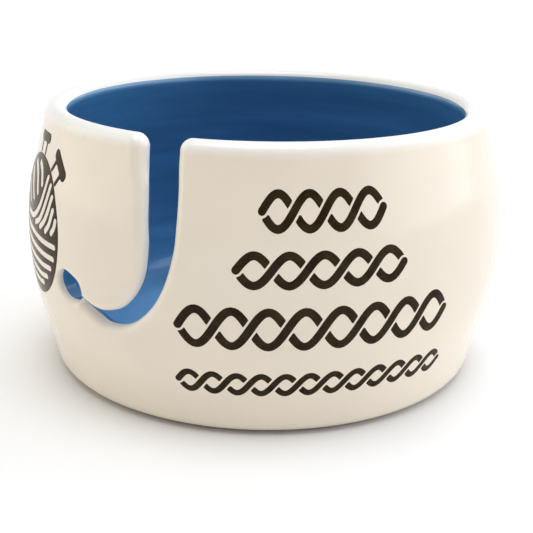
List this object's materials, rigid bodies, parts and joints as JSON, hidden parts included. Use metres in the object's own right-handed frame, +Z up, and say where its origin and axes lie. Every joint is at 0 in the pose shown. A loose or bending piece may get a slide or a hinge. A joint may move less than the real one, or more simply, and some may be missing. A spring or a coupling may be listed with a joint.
{
  "type": "yarn bowl",
  "caption": "Round glazed stoneware yarn bowl with a J-shaped slot in the wall that guides the working yarn, and a printed decoration.",
  "frame": {"origin": "centre of the foot on the surface the bowl stands on", "axes": "+Z up along the bowl's axis, -Y out through the middle of the yarn slot, the slot's hook towards -X"},
  "size_m": [0.15, 0.1501, 0.0825],
  "materials": {
    "bare_stoneware": "fired, unglazed, matte",
    "cream_glaze": "glossy",
    "blue_glaze": "glossy",
    "brown_ink": "fired ceramic ink, semi-gloss"
  },
  "bodies": {
    "root": {"clay_body": "bare_stoneware", "outer_glaze": "cream_glaze", "inner_glaze": "blue_glaze", "yarn_ball_print": "brown_ink", "flat_head_needle_print": "brown_ink", "round_head_needle_print": "brown_ink", "braid_print_top": "brown_ink", "braid_print_upper": "brown_ink", "braid_print_lower": "brown_ink", "braid_print_bottom": "brown_ink"}
  },
  "joints": []
}
